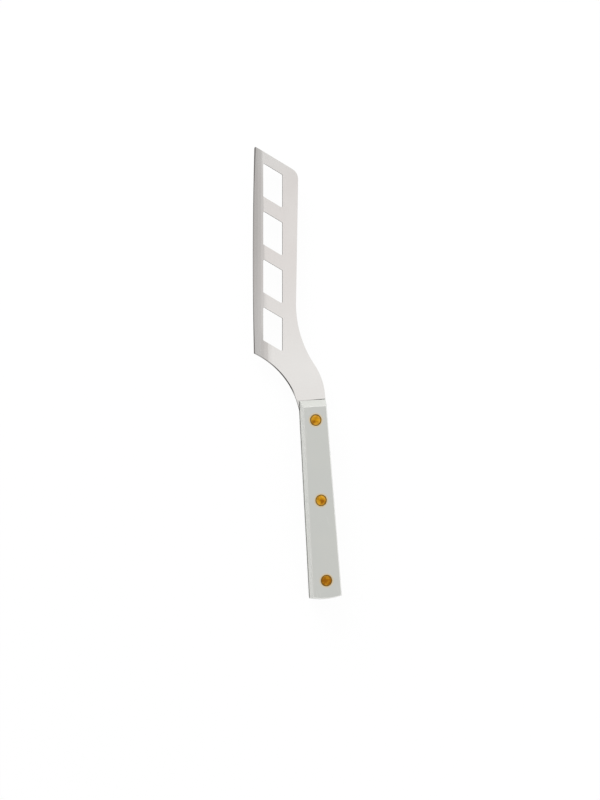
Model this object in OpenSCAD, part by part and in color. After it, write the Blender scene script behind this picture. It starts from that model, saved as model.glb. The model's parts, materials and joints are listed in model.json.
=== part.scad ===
// Offset foie gras knife: a pierced steel blade with a full tang, two handle scales and three brass rivets.
// The knife lies flat on its back scale: +Z is up, +Y runs along the cutting edge towards the tip,
// and +X runs from the cutting edge to the spine. The origin is below the middle of the knife's box.
// All sizes are in millimetres and degrees.

/* [Blade outline] */
// Length of the cutting edge, from the heel corner to the tip before its corner is rounded
edge_len = 132.65; // [120:0.05:150]
// Width from the cutting edge to the spine, level with the tip
blade_w = 29.75; // [27:0.05:36]
// Angle by which the spine leans towards the cutting edge on its way to the neck
spine_lean = 1; // [0:0.1:2]
// Slope of the front edge and of the window ends
front_slope = 30; // [20:1:40]
// Radius of the rounded corner at the tip
tip_r = 0.8; // [0.4:0.1:2]
// Radius of the corner between the front edge and the spine
front_r = 7.5; // [4:0.5:14]
// Radius of the long, slight curve of the cutting edge
edge_r = 2600; // [1500:50:6000]
// Distance from the heel corner to the foremost place on that curve
edge_middle = 60; // [40:1:90]

/* [Blade section] */
// Thickness of the steel in the neck and the tang
steel_t = 1.8; // [1.4:0.1:2.5]
// Thickness of the blade at its tip, before the bevels are ground
tip_t = 1.32; // [1:0.02:1.8]
// Width of the ground bevel at the heel
bevel_w = 9.9; // [7:0.1:12]
// Radius of the slightly rounded face of the bevel
bevel_r = 130; // [100:5:400]
// Thickness that the two bevels leave at the cutting edge
bevel_edge_t = 0.16; // [0.13:0.01:0.4]
// Angle of the narrow honed face on each side of the cutting edge
hone_angle = 16; // [12:1:22]
// Thickness of the finished cutting edge
edge_t = 0.06; // [0.04:0.01:0.12]

/* [Windows] */
// Number of windows in the blade
window_count = 4; // [2:1:6]
// Width of a window, square to the cutting edge
window_w = 12.6; // [8:0.1:14]
// Distance from the cutting edge to the windows
window_edge = 6.65; // [5:0.05:9]
// Width of the steel between the front edge and the first window
front_band = 6.4; // [4:0.1:10]
// Width of the steel between two windows
rung_w = 8; // [4:0.05:10]
// Distance from the heel corner to the last window, along the cutting edge
window_heel = 8.5; // [6:0.05:20]
// Radius in the corners of a window
window_r = 0.8; // [0.4:0.1:2]

/* [Neck] */
// Distance from the heel corner to the handle, along the cutting edge
neck_len = 29.85; // [26:0.05:36]
// Distance from the cutting edge to the middle of the handle's front end
handle_offset = 38.7; // [34:0.1:42]
// Radius of the hollow curve behind the heel corner
heel_r = 52.5; // [40:0.5:70]
// Length over which that curve runs out along the side of the handle
heel_run = 7; // [3:0.5:12]
// Distance from the heel corner, towards the tip, at which the spine begins to curve
sweep_start = 33.05; // [28:0.05:38]
// Radius of the hollow curve in the spine
sweep_r = 68.4; // [55:0.1:80]
// Radius of the rounded shoulder between that curve and the handle
shoulder_r = 40.5; // [30:0.1:50]

/* [Handle] */
// Length of the handle
handle_len = 128.2; // [110:0.1:145]
// Width of the handle at its front end
handle_front_w = 17.1; // [15:0.1:20]
// Width of the handle across its butt corners
handle_butt_w = 20.7; // [18:0.1:26]
// Angle between the handle and the cutting edge
handle_cant = 3.9; // [0:0.1:8]
// Height of the curve across the butt
butt_bulge = 1.3; // [0.6:0.1:3]

/* [Scales] */
// Thickness of one scale
scale_t = 6.6; // [5:0.1:9]
// Distance by which the sides and the butt of a scale lean in over its thickness
side_draft = 0.9; // [0.2:0.1:1.6]
// Length of the sloping front end of a scale
end_run = 4.05; // [2:0.05:6]
// Height of the upright step at the foot of that slope
end_step = 0.4; // [0.2:0.1:1]
// Radius along the outer edges of a scale
scale_edge_r = 0.9; // [0.3:0.1:1.4]

/* [Rivets] */
// Number of rivets
rivet_count = 3; // [2:1:5]
// Distance from the front end of the handle to the first rivet
rivet_front = 12.75; // [10:0.05:20]
// Distance from the last rivet to the butt
rivet_butt = 12.4; // [9:0.1:20]
// Diameter of a rivet head
head_d = 7.4; // [6.4:0.1:9]
// Thickness of a rivet head at its rim
head_t = 1.6; // [1:0.1:2.4]
// Height of the crown on a rivet head
head_crown = 0.25; // [0.1:0.05:0.4]
// Outer diameter of the hollow shank
sleeve_d = 4.8; // [4.4:0.1:5.6]
// Diameter of the solid shank that is driven into the hollow one
pin_d = 3.2; // [2.6:0.1:3.6]

/* [Fits] */
// Gap between a rivet and the wall of its hole
rivet_gap = 0.05; // [0.02:0.01:0.2]
// Gap between the solid shank and the hollow one
shank_gap = 0.02; // [0.01:0.01:0.05]
// Gap beyond the end of each shank
end_gap = 0.3; // [0.2:0.1:1]
// Depth of a crown's top below the face of its scale
head_sink = 0.05; // [0.02:0.01:0.2]

/* [Hidden] */
$fn = 180;
steel_colour = [0.86, 0.84, 0.82];
scale_colour = [0.77, 0.77, 0.75];
brass_colour = [0.75, 0.58, 0.26];

// Cutters reach this far past what they cut
overcut = 1;

// An arc is drawn this much larger than one that only touches its lines, so that it crosses them cleanly
function bite(r) = min(0.01, r / 400);

function unit(v) = v / norm(v);
function turned(p, angle) = [p.x * cos(angle) - p.y * sin(angle), p.x * sin(angle) + p.y * cos(angle)];
function half_angle(u, v) = acos(unit(u) * unit(v)) / 2;

// Corner of the two lines that touch an arc at its ends
function arc_corner(touch_1, touch_2, centre) =
    let (u = touch_1 - centre, v = touch_2 - centre)
    centre + unit(u + v) * norm(u) / cos(half_angle(u, v));

// Touching points and centre of the arc that rounds a corner
function fillet(before, corner, after, r) =
    let (u = unit(before - corner), v = unit(after - corner), half = half_angle(u, v))
    [corner + u * r / tan(half), corner + v * r / tan(half), corner + unit(u + v) * r / sin(half)];

// Centre of the arc of radius r from p to q, on the right of the way from p to q
function arc_centre(p, q, r) =
    let (way = unit(q - p))
    (p + q) / 2 + [way.y, -way.x] * sqrt(r * r - (q - p) * (q - p) / 4);

// Handle: its own plane has the middle of the front end at zero and the butt towards -Y
flare = atan((handle_butt_w - handle_front_w) / 2 / (handle_len - butt_bulge));
butt_r = (pow(handle_butt_w / 2, 2) + pow(butt_bulge, 2)) / (2 * butt_bulge);
butt_centre = [0, butt_r - handle_len];
butt_corner = [handle_butt_w / 2, butt_bulge - handle_len];
handle_front = [handle_offset, -neck_len];
function handle_side(run) = [handle_front_w / 2 + run * tan(flare), -run];
function on_blade(p) = handle_front + turned(p, handle_cant);
function mirrored(p) = [-p.x, p.y];

// Cutting edge: its foremost place is at zero across the blade
function edge_turn(y) = asin((edge_middle - y) / edge_r);
function on_edge(y) = [edge_r - edge_r * cos(edge_turn(y)), y];
heel = on_edge(0);
tip = on_edge(edge_len);

// Front edge of the blade, drawn on past the tip
front_way = [cos(front_slope), -sin(front_slope)];
past_tip = tip - 2 * overcut * front_way;
front_edge_len = (blade_w - tip.x) / (front_way.x - front_way.y * tan(spine_lean));
front_corner = tip + front_way * front_edge_len;

// Spine: a straight stretch, a hollow curve and a rounded shoulder that ends along the side of the handle
sweep_from = [blade_w - (edge_len - sweep_start) * tan(spine_lean), sweep_start];
sweep_centre = sweep_from + sweep_r * [cos(spine_lean), -sin(spine_lean)];
side_way = turned([0, -1], handle_cant + flare);
side_out = turned([1, 0], handle_cant + flare);
shoulder_line = on_blade(handle_side(0)) - shoulder_r * side_out;
to_line = shoulder_line - sweep_centre;
line_run = sqrt(pow(to_line * side_way, 2) - to_line * to_line + pow(sweep_r + shoulder_r, 2));
shoulder_centre = shoulder_line + side_way * (line_run - to_line * side_way);
sweep_to = sweep_centre + unit(shoulder_centre - sweep_centre) * sweep_r;
shoulder_to = shoulder_centre + side_out * shoulder_r;
front_arc = fillet(tip, front_corner, sweep_from, front_r);
tip_arc = fillet(tip - turned([0, 1], edge_turn(edge_len)), tip, front_corner, tip_r);

// Hollow curve from the side of the handle to the heel corner, drawn on past that corner
run_out = on_blade(mirrored(handle_side(heel_run)));
heel_centre = arc_centre(heel, run_out, heel_r);
past_heel = heel_centre + turned(heel - heel_centre, 2);

// Bevel: the arc from the edge to the grind line in a section of the blade, made of narrow flats
bevel_centre = arc_centre([0, bevel_edge_t / 2], [bevel_w, steel_t / 2], bevel_r);
bevel_flats = 8;
hone_flats = 7;
hone_reach = bevel_w / 2;

// Windows
window_rise = window_w * tan(front_slope);
rung_len = rung_w / cos(front_slope);
window_top = edge_len - (window_edge - tip.x) * tan(front_slope) - front_band / cos(front_slope);
window_len = (window_top - window_heel - (window_count - 1) * rung_len) / window_count;

// Thickness of the handle, seats of the rivet heads and their spacing
half_t = steel_t / 2 + scale_t;
head_seat = half_t - head_sink - head_crown - head_t;
crown_r = (pow(head_d / 2, 2) + pow(head_crown, 2)) / (2 * head_crown);
rivet_hole_d = sleeve_d + 2 * rivet_gap;
rivet_pitch = (handle_len - rivet_front - rivet_butt) / (rivet_count - 1);

// Box of the whole knife, whose middle is the origin
overall_w = on_blade(butt_corner).x;
tip_y = tip_arc[2].y + tip_r;
butt_y = on_blade(butt_centre).y - butt_r;
box_middle = [overall_w / 2, (tip_y + butt_y) / 2];

module in_frame() {
    translate([-box_middle.x, -box_middle.y, half_t]) children();
}

module on_handle() {
    translate(handle_front) rotate(handle_cant) children();
}

module at_rivet(i) {
    translate([0, -rivet_front - (i - 1) * rivet_pitch]) children();
}

module both_faces() {
    children();
    mirror([0, 0, 1]) children();
}

// What lies outside an arc, up to the corner that the arc rounds
module corner_waste(touch_1, touch_2, centre) {
    corner = arc_corner(touch_1, touch_2, centre);
    r = norm(touch_1 - centre);
    difference() {
        polygon([touch_1, corner + overcut * unit(corner - centre), touch_2]);
        translate(centre) circle(r + bite(r));
    }
}

// What lies inside an arc, up to the lines that touch it at its ends
module hollow_waste(touch_1, touch_2, centre) {
    r = norm(touch_1 - centre);
    intersection() {
        polygon([touch_1, arc_corner(touch_1, touch_2, centre), touch_2, centre]);
        translate(centre) circle(r + bite(r));
    }
}

module rounded_polygon(points, r) {
    count = len(points);
    difference() {
        polygon(points);
        for (i = [0 : count - 1]) {
            arc = fillet(points[(i + count - 1) % count], points[i], points[(i + 1) % count], r);
            corner_waste(arc[0], arc[1], arc[2]);
        }
    }
}

// What lies before the curve of the cutting edge
module edge_waste() {
    inside = max(heel.x, tip.x) + overcut;
    low = heel.y - 2 * overcut;
    high = tip.y + 2 * overcut;
    difference() {
        polygon([[-4 * overcut, low], [inside, low], [inside, high], [-4 * overcut, high]]);
        translate([edge_r, edge_middle]) circle(edge_r, $fn = 20 * $fn);
    }
}

// Outline of the blade, the neck and the tang
module steel_outline() {
    butt_right = on_blade(butt_corner);
    butt_left = on_blade(mirrored(butt_corner));
    butt_middle = on_blade(butt_centre);
    difference() {
        polygon([
            past_heel,
            past_tip,
            front_corner,
            sweep_from,
            sweep_to,
            arc_corner(sweep_to, shoulder_to, shoulder_centre),
            butt_right,
            arc_corner(butt_right, butt_left, butt_middle),
            butt_left,
            run_out
        ]);
        edge_waste();
        corner_waste(tip_arc[0], tip_arc[1], tip_arc[2]);
        corner_waste(front_arc[0], front_arc[1], front_arc[2]);
        hollow_waste(sweep_from, sweep_to, sweep_centre);
        corner_waste(sweep_to, shoulder_to, shoulder_centre);
        corner_waste(butt_right, butt_left, butt_middle);
        hollow_waste(run_out, past_heel, heel_centre);
    }
}

// Side view of the steel: even in the tang and the neck, then thinner towards the tip
module thickness_profile() {
    taper = (steel_t - tip_t) / 2 / edge_len;
    far_y = edge_len + overcut;
    far_t = steel_t / 2 - taper * far_y;
    translate([-overcut, 0, 0])
        rotate([90, 0, 90])
            linear_extrude(overall_w + 2 * overcut)
                polygon([
                    [butt_y - overcut, -steel_t / 2],
                    [0, -steel_t / 2],
                    [far_y, -far_t],
                    [far_y, far_t],
                    [0, steel_t / 2],
                    [butt_y - overcut, steel_t / 2]
                ]);
}

// Stretches a section across the blade from one place on the cutting edge to another
module along_edge(from, to) {
    translate([0, to, 0]) rotate([90, 0, 0]) linear_extrude(to - from) children();
}

// What lies outside the bevel's arc
module bevel_section() {
    start = acos((-overcut - bevel_centre.x) / bevel_r);
    angles = [for (i = [0 : bevel_flats]) start + (90 - start) * i / bevel_flats];
    ceiling = bevel_centre.y + bevel_r + overcut;
    polygon(concat(
        [for (a = angles) bevel_centre + bevel_r * [cos(a), sin(a)]],
        [[bevel_centre.x, ceiling], [-overcut, ceiling]]
    ));
}

module bevel_waste() {
    along_edge(-neck_len, edge_len + overcut) bevel_section();
}

module hone_section() {
    lift = hone_reach * tan(hone_angle);
    polygon([
        [-overcut, edge_t / 2 - overcut * tan(hone_angle)],
        [hone_reach, edge_t / 2 + lift],
        [-overcut, edge_t / 2 + lift]
    ]);
}

// A row of flats follows the curve of the cutting edge
module hone_waste() {
    for (i = [1 : hone_flats]) {
        place = on_edge(edge_len * (i - 0.5) / hone_flats);
        translate(place) rotate(edge_turn(place.y)) along_edge(-edge_len, edge_len) hone_section();
    }
}

module window(i) {
    top = window_top - (i - 1) * (window_len + rung_len);
    far_x = window_edge + window_w;
    rounded_polygon([
        [window_edge, top],
        [far_x, top - window_rise],
        [far_x, top - window_rise - window_len],
        [window_edge, top - window_len]
    ], window_r);
}

module blade() {
    color(steel_colour) in_frame() difference() {
        intersection() {
            linear_extrude(steel_t + 2 * overcut, center = true) steel_outline();
            thickness_profile();
        }
        both_faces() bevel_waste();
        both_faces() hone_waste();
        linear_extrude(steel_t + 2 * overcut, center = true) for (i = [1 : window_count]) window(i);
        on_handle() for (i = [1 : rivet_count])
            at_rivet(i) cylinder(d = rivet_hole_d, h = steel_t + 2 * overcut, center = true);
    }
}

// Body of a scale on the tang's plane: everything inside its right side, with the outer edge rounded
module scale_side() {
    lean = side_draft / scale_t;
    inner_x = -2 * handle_butt_w;
    foot = [lean * overcut, -overcut];
    edge = [-side_draft, scale_t];
    inner_edge = [inner_x, scale_t];
    arc = fillet(foot, edge, inner_edge, scale_edge_r);
    translate(handle_side(-overcut))
        rotate([90, 0, flare])
            linear_extrude(handle_len + 3 * overcut)
                difference() {
                    polygon([foot, edge, inner_edge, [inner_x, -overcut]]);
                    corner_waste(arc[0], arc[1], arc[2]);
                }
}

// Body of a scale seen from the side: flat faces and a sloping front end
module scale_end() {
    slope_foot = [0, end_step];
    slope_top = [-end_run, scale_t];
    back_y = -handle_len - overcut;
    arc = fillet(slope_foot, slope_top, [back_y, scale_t], scale_edge_r);
    translate([-handle_butt_w, 0, 0])
        rotate([90, 0, 90])
            linear_extrude(2 * handle_butt_w)
                difference() {
                    polygon([[0, 0], slope_foot, slope_top, [back_y, scale_t], [back_y, 0]]);
                    corner_waste(arc[0], arc[1], arc[2]);
                }
}

// What lies behind the curved butt of a scale
module butt_waste() {
    lean = side_draft / scale_t;
    foot = [butt_r + lean * overcut, -overcut];
    edge = [butt_r - side_draft, scale_t];
    arc = fillet(foot, edge, [0, scale_t], scale_edge_r);
    difference() {
        translate([-handle_butt_w, -handle_len - 2 * overcut, -overcut / 2])
            cube([2 * handle_butt_w, butt_r / 2, scale_t + overcut]);
        translate(butt_centre)
            rotate_extrude()
                difference() {
                    polygon([[0, -overcut], foot, edge, [0, scale_t]]);
                    corner_waste(arc[0], arc[1], arc[2]);
                }
    }
}

module scale_body() {
    head_hole_foot = head_seat - steel_t / 2;
    difference() {
        intersection() {
            scale_end();
            scale_side();
            mirror([1, 0, 0]) scale_side();
        }
        butt_waste();
        for (i = [1 : rivet_count]) at_rivet(i) {
            translate([0, 0, -overcut]) cylinder(d = rivet_hole_d, h = scale_t + 2 * overcut);
            translate([0, 0, head_hole_foot]) cylinder(d = head_d + 2 * rivet_gap, h = scale_t);
        }
    }
}

module front_scale() {
    color(scale_colour) in_frame() on_handle() translate([0, 0, steel_t / 2]) scale_body();
}

module back_scale() {
    color(scale_colour) in_frame() on_handle() mirror([0, 0, 1]) translate([0, 0, steel_t / 2]) scale_body();
}

// Head and shank of a rivet half, with the head's crown towards +Z
module rivet_half(shank_d) {
    shank_foot = end_gap - head_seat;
    intersection() {
        translate([0, 0, head_seat]) cylinder(d = head_d, h = head_t + head_crown);
        translate([0, 0, half_t - head_sink - crown_r]) sphere(crown_r);
    }
    translate([0, 0, shank_foot]) cylinder(d = shank_d, h = head_seat + head_t / 2 - shank_foot);
}

module rivet_pin(i) {
    color(brass_colour) in_frame() on_handle() at_rivet(i) rivet_half(pin_d);
}

module rivet_sleeve(i) {
    color(brass_colour) in_frame() on_handle() at_rivet(i) mirror([0, 0, 1]) difference() {
        rivet_half(sleeve_d);
        translate([0, 0, -head_seat]) cylinder(d = pin_d + 2 * shank_gap, h = 2 * head_seat);
    }
}

pin_names = [for (i = [1 : rivet_count]) str("rivet_pin_", i)];
sleeve_names = [for (i = [1 : rivet_count]) str("rivet_sleeve_", i)];

blade();
front_scale();
back_scale();
for (i = [1 : rivet_count]) {
    rivet_pin(i);
    rivet_sleeve(i);
}
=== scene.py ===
"""Looks of the foie gras knife: materials, floor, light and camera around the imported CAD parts."""

import json
import math

import bpy
from mathutils import Matrix, Vector

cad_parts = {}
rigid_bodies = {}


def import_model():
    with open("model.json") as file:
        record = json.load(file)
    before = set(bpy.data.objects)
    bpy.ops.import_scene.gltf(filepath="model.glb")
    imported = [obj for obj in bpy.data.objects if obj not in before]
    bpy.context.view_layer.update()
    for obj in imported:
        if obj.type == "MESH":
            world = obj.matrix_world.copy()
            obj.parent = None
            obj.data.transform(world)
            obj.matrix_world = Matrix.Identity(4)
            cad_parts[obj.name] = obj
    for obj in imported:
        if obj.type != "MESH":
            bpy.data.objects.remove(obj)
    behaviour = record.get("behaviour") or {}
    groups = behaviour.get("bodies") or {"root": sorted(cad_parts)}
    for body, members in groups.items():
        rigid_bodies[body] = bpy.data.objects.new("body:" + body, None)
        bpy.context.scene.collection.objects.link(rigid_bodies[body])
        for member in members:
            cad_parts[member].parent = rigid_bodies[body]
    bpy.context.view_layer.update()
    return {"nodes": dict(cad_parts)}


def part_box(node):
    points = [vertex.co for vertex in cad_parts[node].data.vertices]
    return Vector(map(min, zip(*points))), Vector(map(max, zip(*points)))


MM = 0.001

# The photograph's view: 600 by 800 pixels, seen from a little to the left of straight above
PHOTO_H = 800
MM_PER_PIXEL = 0.6423
VIEW_YAW = math.radians(11)
VIEW_TARGET = Vector((1.92, -16.86, 7.5)) * MM
LENS_MM = 100
SENSOR_MM = 36

# Start from an empty scene, and bring in the CAD parts

for leftover in list(bpy.data.objects):
    bpy.data.objects.remove(leftover)

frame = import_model()
scene = bpy.context.scene
scene.view_settings.view_transform = "Standard"


# Places that patterns follow: the rivets lie along the handle and tell its way and its front end

RIVET_COUNT = 3
PINS = [f"rivet_pin_{i + 1}" for i in range(RIVET_COUNT)]
SLEEVES = [f"rivet_sleeve_{i + 1}" for i in range(RIVET_COUNT)]

# From the first rivet to the handle's front end, and from there to the middle of the heel curve
RIVET_FRONT = 12.75 * MM
HEEL_FROM_FRONT = Vector((-59.61, -18.0, 0)) * MM
HEEL_R = 52.5 * MM

# Half the width of the handle at its front end, and how much that grows with each metre towards the butt
HANDLE_HALF_W = 8.55 * MM
HANDLE_FLARE = 0.0142


def flat_middle(name):
    low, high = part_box(name)
    return Vector(((low.x + high.x) / 2, (low.y + high.y) / 2, 0))


rivet_places = [flat_middle(name) for name in PINS]
handle_way = (rivet_places[0] - rivet_places[-1]).normalized()
handle_across = Vector((handle_way.y, -handle_way.x, 0))
handle_cant = math.atan2(-handle_way.x, handle_way.y)
handle_front = rivet_places[0] + handle_way * RIVET_FRONT
heel_middle = handle_front + HEEL_FROM_FRONT


# Helpers for shader nodes

def set_input(tree, socket, value):
    """Gives a socket a plain value or the output of another node."""
    if isinstance(value, bpy.types.NodeSocket):
        tree.links.new(value, socket)
    else:
        socket.default_value = value


def add_node(tree, kind, inputs=None, **settings):
    node = tree.nodes.new(kind)
    for name, value in settings.items():
        setattr(node, name, value)
    for name, value in (inputs or {}).items():
        set_input(tree, node.inputs[name], value)
    return node


def math_node(tree, operation, first, second=0.0):
    return add_node(tree, "ShaderNodeMath", {0: first, 1: second}, operation=operation).outputs[0]


def vector_node(tree, operation, first, second=(0, 0, 0)):
    """Combines two vectors to one, or to the number that a distance, a length or a product gives."""
    node = add_node(tree, "ShaderNodeVectorMath", {0: first, 1: second}, operation=operation)
    gives_number = operation in ("DISTANCE", "LENGTH", "DOT_PRODUCT")
    return node.outputs["Value" if gives_number else "Vector"]


def along_axis(tree, vector, axis):
    return add_node(tree, "ShaderNodeSeparateXYZ", {0: vector}).outputs[axis]


def flattened(tree, vector):
    """A place moved straight down to the floor."""
    return vector_node(tree, "MULTIPLY", vector, (1, 1, 0))


def step_node(tree, value, low, high, to_low=0.0, to_high=1.0):
    """A smooth step of value between low and high, to the range from to_low to to_high."""
    inputs = {"Value": value, "From Min": low, "From Max": high, "To Min": to_low, "To Max": to_high}
    return add_node(tree, "ShaderNodeMapRange", inputs, interpolation_type="SMOOTHSTEP").outputs["Result"]


def range_node(tree, value, to_low, to_high):
    """Stretches a value from 0 to 1 to another range."""
    inputs = {"Value": value, "To Min": to_low, "To Max": to_high}
    return add_node(tree, "ShaderNodeMapRange", inputs).outputs["Result"]


def mix_colours(tree, share, first, second):
    node = add_node(tree, "ShaderNodeMix", data_type="RGBA")
    values = {"Factor_Float": share, "A_Color": first, "B_Color": second}
    for socket in node.inputs:
        if socket.identifier in values:
            set_input(tree, socket, values[socket.identifier])
    return next(socket for socket in node.outputs if socket.identifier == "Result_Color")


def mix_values(tree, share, first, second):
    return add_node(tree, "ShaderNodeMix", {0: share, 2: first, 3: second}, data_type="FLOAT").outputs[0]


def noise_node(tree, vector, cells, detail=2.0, roughness=0.5):
    """Noise with so many cells in a metre."""
    inputs = {"Vector": vector, "Scale": cells, "Detail": detail, "Roughness": roughness}
    return add_node(tree, "ShaderNodeTexNoise", inputs).outputs["Fac"]


def grain_node(tree, vector, cells, turn=0.0, detail=3.0):
    """Noise that is drawn out along one way, with its own cells in a metre along X, Y and Z after a turn."""
    turned = add_node(tree, "ShaderNodeMapping", {"Vector": vector, "Rotation": (0, 0, -turn)}).outputs[0]
    drawn_out = add_node(tree, "ShaderNodeMapping", {"Vector": turned, "Scale": cells}).outputs[0]
    return noise_node(tree, drawn_out, 1.0, detail)


def bump_node(tree, height, strength, depth, normal=None):
    inputs = {"Height": height, "Strength": strength, "Distance": depth}
    if normal is not None:
        inputs["Normal"] = normal
    return add_node(tree, "ShaderNodeBump", inputs).outputs["Normal"]


def grey(value):
    return (value, value, value, 1.0)


def new_material(name):
    """A new material with its Principled shader, and the coordinates that its patterns use."""
    material = bpy.data.materials.new(name)
    material.use_nodes = True
    tree = material.node_tree
    return material, tree, tree.nodes["Principled BSDF"], tree.nodes.new("ShaderNodeTexCoord")


# Satin steel: drawn grain, a cross-ground bevel and dull cut walls, with painted reflection that makes it
# paler at the neck, the tip and the heel's bevel, and painted shade by the heel, along the heel curve and at
# the foot of the scales

# The palest steel colour is a painted reflection at the neck and the tip
STEEL_PALE_REFLECTION = (0.822, 0.802, 0.780, 1.0)
STEEL_WARM = (0.764, 0.726, 0.704, 1.0)
STEEL_DEEP = (0.785, 0.763, 0.742, 1.0)
# The hone colour also serves as painted shade by the heel
STEEL_HONE_AND_SHADE = (0.55, 0.52, 0.50, 1.0)
# The dark edge colour serves the cut walls, and also the painted shade along the heel curve and at the foot
# of the scales
STEEL_EDGE_AND_SHADE = (0.050, 0.048, 0.045, 1.0)
STEEL_SHEARED = (0.22, 0.213, 0.206, 1.0)
# The two ground colours are a painted reflection on the bevel, bright at the heel and duller towards the tip
GROUND_REFLECTION_BRIGHT = (0.99, 0.965, 0.955, 1.0)
GROUND_REFLECTION_DULL = (0.678, 0.643, 0.624, 1.0)

# How much of a colour is mixed in at the most
STEEL_CLOUD_SHARE = 0.6
GRAIN_SHARE = 0.05
BEVEL_REFLECTION_SHARE = 0.3

# The upright part of a normal, and its lean to the cutting edge, where an effect starts and where it is full
WALL_UPRIGHT = (0.6, 0.4)
BEVEL_LEAN = (0.016, 0.034)
BEVEL_REFLECTION_LEAN = (0.04, 0.13)
HONE_LEAN = (0.16, 0.20)

# Stretches along the blade over which its tone changes, and over which a painted reflection makes it paler at
# the neck and the tip
WARM_SPAN = (5 * MM, 60 * MM)
TIP_SPAN = (140 * MM, 122 * MM)
BEVEL_REFLECTION_SPAN = (40 * MM, 100 * MM)

# Painted shade by the heel: the bevel's lean, the fade past the grind line, its length and its shares
PLUNGE_LEAN = (0.10, 0.06)
PLUNGE_FADE = (-15.7 * MM, -18.9 * MM)
PLUNGE_SPAN = (34 * MM, 20 * MM)
PLUNGE_SHARE = 0.6
PLUNGE_PAST = 0.25

# The painted line of shade along the heel curve: its width, its fade before the handle, and its fade at the
# heel's corner
HEEL_SHADE_INNER = 0.4 * MM
HEEL_SHADE_OUTER = 0.6 * MM
HEEL_SHADE_GONE = 2 * MM
HEEL_SHADE_WHOLE = 8 * MM
HEEL_SHADE_CORNER = (-27 * MM, -8 * MM)
HEEL_SHADE_SHARES = (0.3, 1.0)

# Painted shade in front of the scales, stronger towards the spine, and in the seam along their left side
FOOT_SHADE_LAP = 0.12 * MM
FOOT_SHADE_FADE = (0.6 * MM, 0.18 * MM)
FOOT_SHADE_ASIDE = (-4 * MM, 5 * MM)
FOOT_SHADE_SHARES = (0.3, 0.95)
SEAM_SHADE_FADE = (0.55 * MM, 0.165 * MM)

# Cut walls: the height at which the burnished band ends, how far that wanders, and where the tang starts
SHEAR_BREAK = (7.55 * MM, 7.85 * MM)
SHEAR_WANDER = 0.15 * MM
SHEAR_SHARES = (0.1, 0.8)
TANG_STARTS = (-1 * MM, 1 * MM)

# Patterns in the steel, in cells per metre
DRAWN_CELLS = (3600, 70, 3600)
GROUND_CELLS = (160, 3000, 160)
GROUND_TURN = math.radians(4)
SCRATCH_CELLS = (1500, 22, 1500)
SCRATCH_TURN = math.radians(-17)
SCRATCH_LEVELS = (0.80, 0.88)
SHEAR_CELLS = (1600, 1600, 90)
STEEL_CLOUDS = 28.0
CLOUD_LEVELS = (0.3, 0.7)
SMUDGE_CELLS = 150.0

# Roughness of the steel, what changes it, and the strength and depth of its bumps
STEEL_ROUGH = (0.20, 0.26)
SMUDGE_ROUGH = 0.03
SCRATCH_ROUGH = 0.12
BEVEL_POLISH = 0.07
WALL_ROUGH = 0.75
RIDGE_BUMP = (0.04, 0.02 * MM)
SCRATCH_BUMP = (0.08, -0.01 * MM)


def from_handle(tree, flat_at):
    """How far a place lies ahead of the handle's front end, and to the spine's side of its middle line."""
    from_front = vector_node(tree, "SUBTRACT", flat_at, handle_front)
    ahead = vector_node(tree, "DOT_PRODUCT", from_front, handle_way)
    aside = vector_node(tree, "DOT_PRODUCT", from_front, handle_across)
    return ahead, aside


def blade_tone_and_reflection(tree, along):
    """Colour of the flat steel: warmer and darker along the blade, and a painted reflection that makes it
    pale at the neck and the tip.
    """
    past_heel = step_node(tree, along, *WARM_SPAN)
    before_tip = step_node(tree, along, *TIP_SPAN)
    return mix_colours(tree, math_node(tree, "MULTIPLY", past_heel, before_tip), STEEL_PALE_REFLECTION, STEEL_WARM)


def bevel_reflection_tone(tree, along, lean, steel):
    """Colour of the bevel: a painted reflection, bright at the heel and duller towards the tip."""
    ground = mix_colours(tree, step_node(tree, along, *BEVEL_REFLECTION_SPAN), GROUND_REFLECTION_BRIGHT, GROUND_REFLECTION_DULL)
    return mix_colours(tree, step_node(tree, lean, *BEVEL_REFLECTION_LEAN, 0.0, BEVEL_REFLECTION_SHARE), steel, ground)


def heel_bevel_shade(tree, at, lean, on_bevel):
    """Painted shade by the heel: on the inner bevel, and fading out past the grind line."""
    inner = step_node(tree, lean, *PLUNGE_LEAN, 0.0, PLUNGE_SHARE)
    past_line = step_node(tree, along_axis(tree, at, "X"), *PLUNGE_FADE, 0.0, PLUNGE_PAST)
    by_heel = step_node(tree, along_axis(tree, at, "Y"), *PLUNGE_SPAN)
    return math_node(tree, "MULTIPLY", mix_values(tree, on_bevel, past_line, inner), by_heel)


def heel_shade_line(tree, flat_at):
    """A narrow painted line of shade along the heel curve, fainter at the heel's corner and gone before the
    handle.
    """
    away = vector_node(tree, "DISTANCE", flat_at, heel_middle)
    on_curve = step_node(tree, away, HEEL_R + HEEL_SHADE_OUTER, HEEL_R + HEEL_SHADE_INNER)
    along = along_axis(tree, flat_at, "Y")
    off_handle = step_node(tree, along, handle_front.y + HEEL_SHADE_GONE, handle_front.y + HEEL_SHADE_WHOLE)
    off_corner = step_node(tree, along_axis(tree, flat_at, "X"), *HEEL_SHADE_CORNER, *HEEL_SHADE_SHARES)
    return math_node(tree, "MULTIPLY", on_curve, math_node(tree, "MULTIPLY", off_handle, off_corner))


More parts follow.
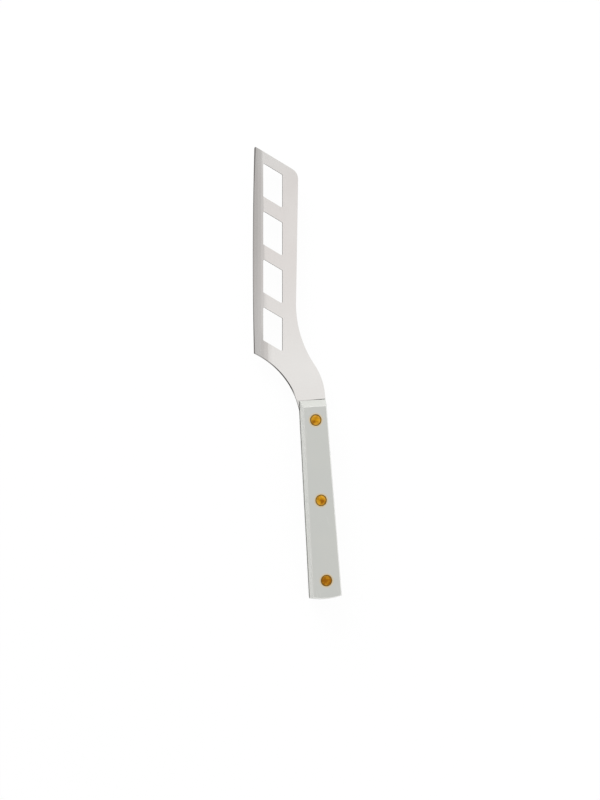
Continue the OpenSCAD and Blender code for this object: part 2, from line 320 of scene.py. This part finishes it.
def scale_foot_shade(tree, ahead, aside):
    """Narrow painted lines of shade at the foot of the scales: in front of them, and along their left side.
    """
    before = step_node(tree, ahead, -FOOT_SHADE_LAP, 0.0)
    near_front = math_node(tree, "MULTIPLY", before, step_node(tree, ahead, *FOOT_SHADE_FADE))
    front = math_node(tree, "MULTIPLY", near_front, step_node(tree, aside, *FOOT_SHADE_ASIDE, *FOOT_SHADE_SHARES))
    half_w = math_node(tree, "SUBTRACT", HANDLE_HALF_W, math_node(tree, "MULTIPLY", ahead, HANDLE_FLARE))
    beside = math_node(tree, "SUBTRACT", math_node(tree, "MULTIPLY", aside, -1.0), half_w)
    on_handle = math_node(tree, "SUBTRACT", 1.0, before)
    side = math_node(tree, "MULTIPLY", step_node(tree, beside, *SEAM_SHADE_FADE), on_handle)
    return math_node(tree, "MAXIMUM", front, side)


def blanked_wall(tree, at, ahead):
    """Colour of a cut wall: a burnished band under the front face, a dark break below it, and a dark tang."""
    streaks = grain_node(tree, at, SHEAR_CELLS)
    wander = range_node(tree, streaks, -SHEAR_WANDER, SHEAR_WANDER)
    height = math_node(tree, "ADD", along_axis(tree, at, "Z"), wander)
    burnished = step_node(tree, height, *SHEAR_BREAK, *SHEAR_SHARES)
    on_blade = step_node(tree, ahead, *TANG_STARTS)
    return mix_colours(tree, math_node(tree, "MULTIPLY", burnished, on_blade), STEEL_EDGE_AND_SHADE, STEEL_SHEARED)


def satin_steel():
    material, tree, shader, places = new_material("satin_steel")
    at = places.outputs["Object"]
    facing = places.outputs["Normal"]
    flat_at = flattened(tree, at)
    along = along_axis(tree, at, "Y")
    ahead, aside = from_handle(tree, flat_at)
    upright = math_node(tree, "ABSOLUTE", along_axis(tree, facing, "Z"))
    lean = math_node(tree, "MULTIPLY", along_axis(tree, facing, "X"), -1.0)
    on_wall = step_node(tree, upright, *WALL_UPRIGHT)
    on_bevel = step_node(tree, lean, *BEVEL_LEAN)
    on_hone = step_node(tree, lean, *HONE_LEAN)

    drawn = grain_node(tree, at, DRAWN_CELLS)
    ground = grain_node(tree, at, GROUND_CELLS, GROUND_TURN)
    grain = mix_values(tree, on_bevel, drawn, ground)
    clouds = noise_node(tree, at, STEEL_CLOUDS, detail=3.0)
    cloudy = step_node(tree, clouds, *CLOUD_LEVELS, 0.0, STEEL_CLOUD_SHARE)
    smudges = noise_node(tree, at, SMUDGE_CELLS, detail=4.0, roughness=0.6)
    scratches = grain_node(tree, at, SCRATCH_CELLS, SCRATCH_TURN, detail=1.0)
    scratched = step_node(tree, scratches, *SCRATCH_LEVELS)

    # The tone and the bevel's tone hold painted reflection; the shade by the heel, the heel line and the
    # lines at the scales' foot are painted shade
    clouded = mix_colours(tree, cloudy, blade_tone_and_reflection(tree, along), STEEL_DEEP)
    grained = mix_colours(tree, range_node(tree, grain, 0.0, GRAIN_SHARE), clouded, STEEL_HONE_AND_SHADE)
    bevelled = bevel_reflection_tone(tree, along, lean, grained)
    bevel_shaded = mix_colours(tree, heel_bevel_shade(tree, at, lean, on_bevel), bevelled, STEEL_HONE_AND_SHADE)
    honed = mix_colours(tree, on_hone, bevel_shaded, STEEL_HONE_AND_SHADE)
    heel_shaded = mix_colours(tree, heel_shade_line(tree, flat_at), honed, STEEL_EDGE_AND_SHADE)
    foot_shaded = mix_colours(tree, scale_foot_shade(tree, ahead, aside), heel_shaded, STEEL_EDGE_AND_SHADE)
    blanked = mix_colours(tree, on_wall, foot_shaded, blanked_wall(tree, at, ahead))
    tree.links.new(blanked, shader.inputs["Base Color"])

    polish = range_node(tree, grain, *STEEL_ROUGH)
    touched = math_node(tree, "ADD", polish, range_node(tree, smudges, -SMUDGE_ROUGH, SMUDGE_ROUGH))
    worn = math_node(tree, "ADD", touched, math_node(tree, "MULTIPLY", scratched, SCRATCH_ROUGH))
    smooth = math_node(tree, "SUBTRACT", worn, math_node(tree, "MULTIPLY", on_bevel, BEVEL_POLISH))
    tree.links.new(mix_values(tree, on_wall, smooth, WALL_ROUGH), shader.inputs["Roughness"])
    tree.links.new(math_node(tree, "SUBTRACT", 1.0, on_wall), shader.inputs["Metallic"])
    shader.inputs["Specular IOR Level"].default_value = 0.0

    ridges = bump_node(tree, grain, *RIDGE_BUMP)
    cut = bump_node(tree, scratched, *SCRATCH_BUMP, ridges)
    tree.links.new(cut, shader.inputs["Normal"])
    return material


# Pale plastic: faint mottling, a fine moulded skin, scuffs, a painted sheen on the rounded edges with painted
# highlights at the spine's side and the butt, and a stain round the rivets

# The worn colour also gives the rounded edges a painted sheen, and the palest colour is a painted highlight
# on the rounded edges at the spine's side and the butt
PLASTIC = (0.462, 0.464, 0.437, 1.0)
PLASTIC_COOL = (0.447, 0.455, 0.432, 1.0)
PLASTIC_WORN_AND_SHEEN = (0.575, 0.573, 0.552, 1.0)
PLASTIC_EDGE_HIGHLIGHT = (0.72, 0.72, 0.70, 1.0)
PLASTIC_STAIN = (0.56, 0.41, 0.19, 1.0)
SPECK_SHARE = 0.12
EDGE_SHEEN_SHARE = 0.5
SCUFF_SHARE = 0.35

# The upright part of a normal on the rounded edges, and its turn to the spine and to the butt
SIDE_UPRIGHT = (0.60, 0.72)
FACE_UPRIGHT = (0.99, 0.93)
SPINE_FACING = (0.15, 0.40)
BUTT_FACING = (-0.15, -0.40)

# The stain: its fade, measured from the middle of a rivet, and its least and greatest share
STAIN_FADE = (4.9 * MM, 4.0 * MM)
STAIN_SHARES = (0.45, 0.95)

# Patterns in the plastic, in cells per metre
PLASTIC_CLOUDS = 40.0
SPECK_CELLS = 1800.0
SKIN_CELLS = 900.0
HANDLED_CELLS = 90.0
BUFF_CELLS = (1400, 30, 1400)
SCUFF_CELLS = (1300, 45, 1300)
SCUFF_TURN = math.radians(12)
SCUFF_LEVELS = (0.74, 0.82)

# Roughness of the plastic, what changes it, and the strength and depth of its bumps
PLASTIC_ROUGH = (0.26, 0.40)
BUFF_ROUGH = 0.04
SCUFF_ROUGH = 0.12
EDGE_ROUGH = 0.20
SKIN_BUMP = (0.06, 0.03 * MM)
BUFF_BUMP = (0.05, 0.02 * MM)
PLASTIC_IOR = 1.48


def rivet_stain(tree, flat_at, patches):
    """A patchy stain round each rivet."""
    nearest = vector_node(tree, "DISTANCE", flat_at, rivet_places[0])
    for place in rivet_places[1:]:
        nearest = math_node(tree, "MINIMUM", nearest, vector_node(tree, "DISTANCE", flat_at, place))
    ring = step_node(tree, nearest, *STAIN_FADE)
    return math_node(tree, "MULTIPLY", ring, range_node(tree, patches, *STAIN_SHARES))


def rounded_edges(tree, facing):
    """The rounded edges of a scale, and those that get a painted highlight, at the spine's side and the butt.
    """
    upright = math_node(tree, "ABSOLUTE", along_axis(tree, facing, "Z"))
    off_side = step_node(tree, upright, *SIDE_UPRIGHT)
    rounded = math_node(tree, "MULTIPLY", off_side, step_node(tree, upright, *FACE_UPRIGHT))
    to_spine = step_node(tree, along_axis(tree, facing, "X"), *SPINE_FACING)
    to_butt = step_node(tree, along_axis(tree, facing, "Y"), *BUTT_FACING)
    highlit_edges = math_node(tree, "MULTIPLY", rounded, math_node(tree, "MAXIMUM", to_spine, to_butt))
    return rounded, highlit_edges


def pale_plastic():
    material, tree, shader, places = new_material("pale_plastic")
    at = places.outputs["Object"]
    rounded, highlit_edges = rounded_edges(tree, places.outputs["Normal"])

    clouds = noise_node(tree, at, PLASTIC_CLOUDS, detail=3.0)
    speckle = noise_node(tree, at, SPECK_CELLS)
    skin = noise_node(tree, at, SKIN_CELLS, detail=4.0, roughness=0.6)
    handled = noise_node(tree, at, HANDLED_CELLS, detail=4.0, roughness=0.6)
    buffed = grain_node(tree, at, BUFF_CELLS, handle_cant, detail=2.0)
    scuffs = grain_node(tree, at, SCUFF_CELLS, handle_cant + SCUFF_TURN, detail=1.0)
    scuffed = step_node(tree, scuffs, *SCUFF_LEVELS)

    mottled = mix_colours(tree, step_node(tree, clouds, *CLOUD_LEVELS), PLASTIC, PLASTIC_COOL)
    specked = mix_colours(tree, range_node(tree, speckle, 0.0, SPECK_SHARE), mottled, PLASTIC_WORN_AND_SHEEN)
    # Painted sheen on the rounded edges, and a painted highlight on those at the spine's side and the butt
    edge_sheened = mix_colours(tree, math_node(tree, "MULTIPLY", rounded, EDGE_SHEEN_SHARE), specked, PLASTIC_WORN_AND_SHEEN)
    edge_highlighted = mix_colours(tree, highlit_edges, edge_sheened, PLASTIC_EDGE_HIGHLIGHT)
    rubbed = mix_colours(tree, math_node(tree, "MULTIPLY", scuffed, SCUFF_SHARE), edge_highlighted, PLASTIC_WORN_AND_SHEEN)
    stain = rivet_stain(tree, flattened(tree, at), handled)
    tree.links.new(mix_colours(tree, stain, rubbed, PLASTIC_STAIN), shader.inputs["Base Color"])

    smooth = range_node(tree, handled, *PLASTIC_ROUGH)
    gloss = math_node(tree, "ADD", smooth, range_node(tree, buffed, -BUFF_ROUGH, BUFF_ROUGH))
    dulled = math_node(tree, "ADD", gloss, math_node(tree, "MULTIPLY", scuffed, SCUFF_ROUGH))
    tree.links.new(mix_values(tree, rounded, dulled, EDGE_ROUGH), shader.inputs["Roughness"])
    shader.inputs["IOR"].default_value = PLASTIC_IOR

    moulded = bump_node(tree, skin, *SKIN_BUMP)
    lined = bump_node(tree, buffed, *BUFF_BUMP, moulded)
    tree.links.new(lined, shader.inputs["Normal"])
    return material


# Brass: turned rings, peened hollows, and a brown tarnish that gathers at the rim, the middle and the butt

BRASS = (0.735, 0.362, 0.012, 1.0)
BRASS_PALE = (0.735, 0.382, 0.040, 1.0)
BRASS_DEEP = (0.34, 0.120, 0.007, 1.0)
BRASS_RIM = (0.195, 0.112, 0.018, 1.0)

# Shares of a head's radius: the middle that is handled most, the paler brass round it, and the dark rim
HANDLED_SPAN = (0.60, 0.10)
PALE_SPAN = (0.35, 0.70)
RIM_SPAN = (0.78, 0.90)

# Tarnish: the stretch of handle along which it grows, by how much, its growth in the middle, and its levels
TARNISH_SPAN = (-60 * MM, -125 * MM)
TARNISH_GROWTH = (0.02, 0.17)
HANDLED_GROWTH = 0.08
TARNISH_LEVELS = (0.47, 0.72)

# Patterns in the brass, in cells per metre, and the angle that the rings' wave has run through at the rim
PEEN_CELLS = 420.0
TARNISH_CELLS = 260.0
FINE_CELLS = 3000.0
RING_ANGLE = 110

# Roughness of the brass, what changes it, and the strength and depth of its bumps
BRASS_ROUGH = (0.20, 0.42)
FINE_ROUGH = 0.05
PEEN_BUMP = (0.35, 0.12 * MM)
RING_BUMP = (0.05, 0.006 * MM)


def aged_brass():
    material, tree, shader, places = new_material("aged_brass")
    at = places.outputs["Object"]
    off_middle = vector_node(tree, "SUBTRACT", places.outputs["Generated"], (0.5, 0.5, 0))
    out = vector_node(tree, "LENGTH", vector_node(tree, "MULTIPLY", off_middle, (2, 2, 0)))

    peened = noise_node(tree, at, PEEN_CELLS)
    tarnish = noise_node(tree, at, TARNISH_CELLS, detail=4.0, roughness=0.6)
    fine = noise_node(tree, at, FINE_CELLS)
    rings = math_node(tree, "SINE", math_node(tree, "MULTIPLY", out, RING_ANGLE))

    older = step_node(tree, along_axis(tree, at, "Y"), *TARNISH_SPAN, *TARNISH_GROWTH)
    handled = step_node(tree, out, *HANDLED_SPAN, 0.0, HANDLED_GROWTH)
    browned = math_node(tree, "ADD", tarnish, math_node(tree, "ADD", older, handled))
    bright = mix_colours(tree, step_node(tree, out, *PALE_SPAN), BRASS, BRASS_PALE)
    toned = mix_colours(tree, step_node(tree, browned, *TARNISH_LEVELS), bright, BRASS_DEEP)
    rimmed = mix_colours(tree, step_node(tree, out, *RIM_SPAN), toned, BRASS_RIM)
    tree.links.new(rimmed, shader.inputs["Base Color"])

    smooth = range_node(tree, tarnish, *BRASS_ROUGH)
    gloss = math_node(tree, "ADD", smooth, range_node(tree, fine, -FINE_ROUGH, FINE_ROUGH))
    tree.links.new(gloss, shader.inputs["Roughness"])
    shader.inputs["Metallic"].default_value = 1.0

    hollows = bump_node(tree, peened, *PEEN_BUMP)
    turned = bump_node(tree, rings, *RING_BUMP, hollows)
    tree.links.new(turned, shader.inputs["Normal"])
    return material


# Put the materials on the CAD parts

def dress(names, material):
    for name in names:
        frame["nodes"][name].material_slots[0].material = material


# Floor: white paper that keeps a faint shadow

FLOOR_HALF = 4.0
FLOOR_PAPER = grey(0.90)
FLOOR_SHARE = 0.95
FLOOR_ROUGH = 0.9
FLOOR_SPECULAR = 0.1
FIBRE_CELLS = 600.0
FIBRE_BUMP = (0.05, 0.05 * MM)


def white_paper():
    """Paper that the camera and mirrors see as nearly pure white."""
    material, tree, shader, places = new_material("white_paper")
    fibre = noise_node(tree, places.outputs["Object"], FIBRE_CELLS, detail=3.0)
    tree.links.new(bump_node(tree, fibre, *FIBRE_BUMP), shader.inputs["Normal"])
    shader.inputs["Base Color"].default_value = FLOOR_PAPER
    shader.inputs["Roughness"].default_value = FLOOR_ROUGH
    shader.inputs["Specular IOR Level"].default_value = FLOOR_SPECULAR
    rays = tree.nodes.new("ShaderNodeLightPath").outputs
    mirrored = math_node(tree, "MAXIMUM", rays["Is Glossy Ray"], rays["Is Transmission Ray"])
    seen = math_node(tree, "MAXIMUM", rays["Is Camera Ray"], mirrored)
    share = math_node(tree, "MULTIPLY", seen, FLOOR_SHARE)
    white = add_node(tree, "ShaderNodeEmission", {"Color": grey(1.0), "Strength": 1.0}).outputs[0]
    mixed = add_node(tree, "ShaderNodeMixShader", {0: share, 1: shader.outputs[0], 2: white}).outputs[0]
    tree.links.new(mixed, tree.nodes["Material Output"].inputs["Surface"])
    return material


def white_floor():
    mesh = bpy.data.meshes.new("floor")
    ends = (-FLOOR_HALF, FLOOR_HALF)
    mesh.from_pydata([(x, y, 0) for y in ends for x in ends], [], [(0, 1, 3, 2)])
    mesh.materials.append(white_paper())
    floor = bpy.data.objects.new("floor", mesh)
    scene.collection.objects.link(floor)


# Light: a pale tent that is greyer overhead and dark on the left of the camera, and five softboxes

TENT_RIM = 1.0
TENT_TOP = 0.66
TOP_SPAN = (0.45, 0.85)
TENT_DARK = 0.45
DARK_MIDDLE = math.radians(-30)
DARK_SPAN = (math.radians(14), math.radians(34))
FILL_SIZE = (0.8, 0.4)
PANEL_PLACE = Vector((0.296, -0.170, 0.40))
PANEL_FOOT = Vector((PANEL_PLACE.x, PANEL_PLACE.y, 0))


def tent_light():
    world = bpy.data.worlds.new("tent")
    world.use_nodes = True
    scene.world = world
    tree = world.node_tree
    way = tree.nodes.new("ShaderNodeTexCoord").outputs["Generated"]
    pale = step_node(tree, along_axis(tree, way, "Z"), *TOP_SPAN, TENT_RIM, TENT_TOP)
    dark_way = (math.sin(DARK_MIDDLE), 0, math.cos(DARK_MIDDLE))
    angle = math_node(tree, "ARCCOSINE", vector_node(tree, "DOT_PRODUCT", way, dark_way))
    shade = step_node(tree, angle, *DARK_SPAN, TENT_DARK, 1.0)
    background = tree.nodes["Background"]
    background.inputs["Color"].default_value = grey(1.0)
    tree.links.new(math_node(tree, "MULTIPLY", pale, shade), background.inputs["Strength"])


def softbox(name, place, size, radiance, aim=VIEW_TARGET, mirrored=True):
    """A lamp of an even radiance, turned towards aim. Glossy surfaces show it if mirrored is true."""
    width, length = size
    lamp = bpy.data.lights.new(name, "AREA")
    lamp.shape = "RECTANGLE"
    lamp.size = width
    lamp.size_y = length
    lamp.energy = radiance * math.pi * width * length
    holder = bpy.data.objects.new(name, lamp)
    holder.visible_camera = False
    holder.visible_glossy = mirrored
    scene.collection.objects.link(holder)
    holder.location = place
    holder.rotation_euler = (place - aim).to_track_quat("Z", "Y").to_euler()


# Camera

def photo_camera():
    lens = bpy.data.cameras.new("camera")
    lens.lens = LENS_MM
    lens.sensor_width = SENSOR_MM
    holder = bpy.data.objects.new("camera", lens)
    scene.collection.objects.link(holder)
    distance = PHOTO_H * MM_PER_PIXEL * MM * LENS_MM / SENSOR_MM
    right = Vector((math.cos(VIEW_YAW), 0, math.sin(VIEW_YAW)))
    up = Vector((0, 1, 0))
    back = right.cross(up)
    turn = Matrix((right, up, back)).transposed()
    holder.matrix_world = Matrix.Translation(VIEW_TARGET + back * distance) @ turn.to_4x4()
    scene.camera = holder


dress(["blade"], satin_steel())
dress(["front_scale", "back_scale"], pale_plastic())
dress(PINS + SLEEVES, aged_brass())
white_floor()
tent_light()
softbox("key", place=Vector((-0.60, 1.28, 0.54)), size=(0.9, 0.9), radiance=8.6, mirrored=False)
softbox("left_fill", place=Vector((-1.0, 0.70, 0.22)), size=FILL_SIZE, radiance=0.40)
softbox("right_fill", place=Vector((1.0, -0.3, 0.25)), size=FILL_SIZE, radiance=1.5)
softbox("butt_fill", place=Vector((0.15, -1.2, 0.2)), size=FILL_SIZE, radiance=3.0)
softbox("panel", place=PANEL_PLACE, size=(0.60, 0.73), radiance=0.33, aim=PANEL_FOOT)
photo_camera()
